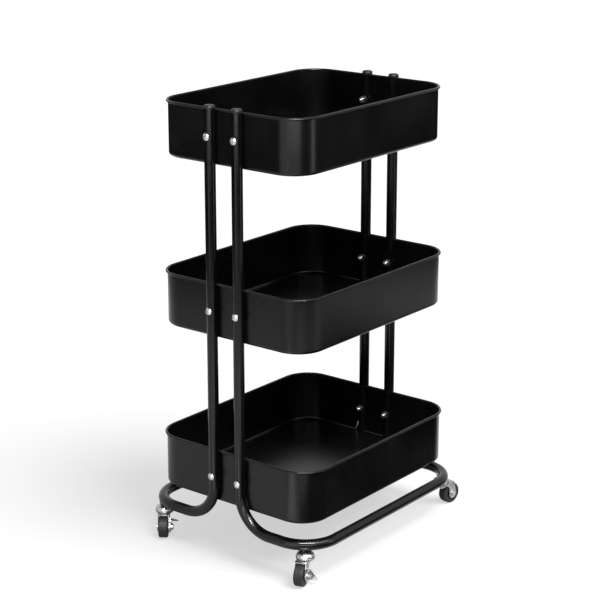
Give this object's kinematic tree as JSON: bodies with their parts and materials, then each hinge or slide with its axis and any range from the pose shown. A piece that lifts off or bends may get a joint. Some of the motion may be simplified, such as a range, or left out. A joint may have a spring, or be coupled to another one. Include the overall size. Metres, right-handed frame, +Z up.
{
  "type": "rolling_pantry_cart",
  "caption": "Three tier rolling pantry cart: black pressed steel trays with rolled rims, bent tube frames with posts at both ends, swivel casters, foot brakes at one end",
  "frame": {"origin": "on the floor, under the middle of the cart", "axes": "X along the cart's length, Y from the front to the rear, Z up"},
  "size_m": [0.4819, 0.3804, 0.78],
  "materials": {
    "black_tray_steel": "satin powder coat",
    "black_frame_steel": "satin powder coat",
    "cap_plastic": "matte",
    "bright_fasteners": "bright nickel plate",
    "dark_washer_steel": "black zinc",
    "zinc_plated_steel": "zinc plated, pressed",
    "hub_plastic": "matte moulded",
    "tyre_rubber": "matte"
  },
  "bodies": {
    "cart_frame": {"tray_top": "black_tray_steel", "tray_middle": "black_tray_steel", "tray_bottom": "black_tray_steel", "front_frame_tube": "black_frame_steel", "rear_frame_tube": "black_frame_steel", "post_front_left": "black_frame_steel", "post_rear_left": "black_frame_steel", "post_front_right": "black_frame_steel", "post_rear_right": "black_frame_steel", "cap_front_left": "cap_plastic", "cap_rear_left": "cap_plastic", "cap_front_right": "cap_plastic", "cap_rear_right": "cap_plastic", "screws_top": "bright_fasteners", "screws_middle": "bright_fasteners", "screws_bottom": "bright_fasteners", "washers_top": "dark_washer_steel", "washers_middle": "dark_washer_steel", "washers_bottom": "dark_washer_steel", "nuts_top": "bright_fasteners", "nuts_middle": "bright_fasteners", "nuts_bottom": "bright_fasteners", "caster_sockets": "black_frame_steel", "stem_front_left": "zinc_plated_steel", "stem_rear_left": "zinc_plated_steel", "stem_front_right": "zinc_plated_steel", "stem_rear_right": "zinc_plated_steel", "dome_front_left": "zinc_plated_steel", "dome_rear_left": "zinc_plated_steel", "dome_front_right": "zinc_plated_steel", "dome_rear_right": "zinc_plated_steel"},
    "caster_front_left": {"fork_front_left": "zinc_plated_steel", "axle_front_left": "zinc_plated_steel"},
    "wheel_front_left": {"hub_front_left": "hub_plastic", "tyre_front_left": "tyre_rubber"},
    "brake_lever_front_left": {"brake_front_left": "zinc_plated_steel"},
    "caster_rear_left": {"fork_rear_left": "zinc_plated_steel", "axle_rear_left": "zinc_plated_steel"},
    "wheel_rear_left": {"hub_rear_left": "hub_plastic", "tyre_rear_left": "tyre_rubber"},
    "brake_lever_rear_left": {"brake_rear_left": "zinc_plated_steel"},
    "caster_front_right": {"fork_front_right": "zinc_plated_steel", "axle_front_right": "zinc_plated_steel"},
    "wheel_front_right": {"hub_front_right": "hub_plastic", "tyre_front_right": "tyre_rubber"},
    "caster_rear_right": {"fork_rear_right": "zinc_plated_steel", "axle_rear_right": "zinc_plated_steel"},
    "wheel_rear_right": {"hub_rear_right": "hub_plastic", "tyre_rear_right": "tyre_rubber"}
  },
  "joints": [
    {"name": "swivel_front_left", "type": "hinge", "parent": "cart_frame", "child": "caster_front_left", "pos_m": [-0.20086, -0.15717, 0.0408], "axis": [0, 0, 1], "continuous": true},
    {"name": "wheel_spin_front_left", "type": "hinge", "parent": "caster_front_left", "child": "wheel_front_left", "pos_m": [-0.22077, -0.16383, 0.019], "axis": [0.3173, -0.9483, 0], "continuous": true},
    {"name": "brake_front_left", "type": "hinge", "parent": "caster_front_left", "child": "brake_lever_front_left", "pos_m": [-0.22077, -0.16383, 0.019], "axis": [0.3173, -0.9483, 0], "range_deg": [0, 66]},
    {"name": "swivel_rear_left", "type": "hinge", "parent": "cart_frame", "child": "caster_rear_left", "pos_m": [-0.20086, 0.15717, 0.0408], "axis": [0, 0, 1], "continuous": true},
    {"name": "wheel_spin_rear_left", "type": "hinge", "parent": "caster_rear_left", "child": "wheel_rear_left", "pos_m": [-0.21785, 0.14483, 0.019], "axis": [0.5878, -0.809, 0], "continuous": true},
    {"name": "brake_rear_left", "type": "hinge", "parent": "caster_rear_left", "child": "brake_lever_rear_left", "pos_m": [-0.21785, 0.14483, 0.019], "axis": [0.5878, -0.809, 0], "range_deg": [-66, 0]},
    {"name": "swivel_front_right", "type": "hinge", "parent": "cart_frame", "child": "caster_front_right", "pos_m": [0.20086, -0.15717, 0.0408], "axis": [0, 0, 1], "continuous": true},
    {"name": "wheel_spin_front_right", "type": "hinge", "parent": "caster_front_right", "child": "wheel_front_right", "pos_m": [0.22154, -0.16082, 0.019], "axis": [0.1736, 0.9848, 0], "continuous": true},
    {"name": "swivel_rear_right", "type": "hinge", "parent": "cart_frame", "child": "caster_rear_right", "pos_m": [0.20086, 0.15717, 0.0408], "axis": [0, 0, 1], "continuous": true},
    {"name": "wheel_spin_rear_right", "type": "hinge", "parent": "caster_rear_right", "child": "wheel_rear_right", "pos_m": [0.2194, 0.16703, 0.019], "axis": [-0.4695, 0.8829, 0], "continuous": true}
  ]
}
